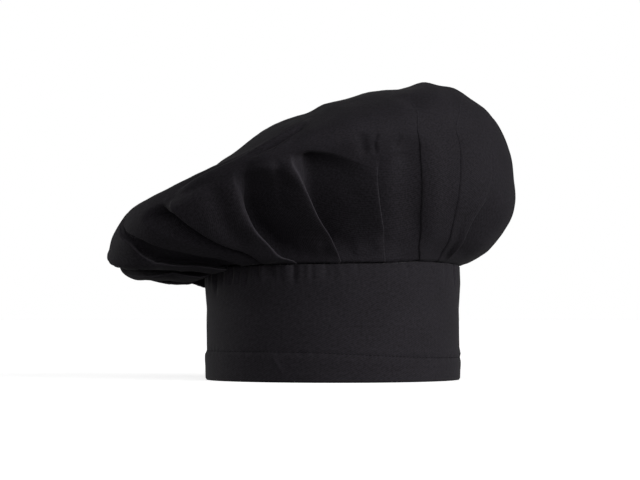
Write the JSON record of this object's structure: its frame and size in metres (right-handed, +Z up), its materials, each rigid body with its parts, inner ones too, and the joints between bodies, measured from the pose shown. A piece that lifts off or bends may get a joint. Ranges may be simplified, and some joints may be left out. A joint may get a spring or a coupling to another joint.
{
  "type": "mushroom chef hat",
  "caption": "Black cotton chef hat with a wide puffed crown pleated into a tall plain band; it stands by itself on the band's rim and goes on a head from below.",
  "frame": {"origin": "middle of the underside of the box round the hat, on the surface that the band's rim rests on", "axes": "+X to the front of the hat, where the crown is highest; -X to the back, where it hangs over the band; -Y to the wearer's right side, which the picture shows; +Z up"},
  "size_m": [0.3154, 0.2652, 0.228],
  "materials": {
    "band_twill": "matte black cotton twill, starched and pressed",
    "crown_twill": "matte black cotton twill, soft and pleated"
  },
  "bodies": {
    "root": {"band": "band_twill", "crown": "crown_twill"}
  },
  "joints": []
}
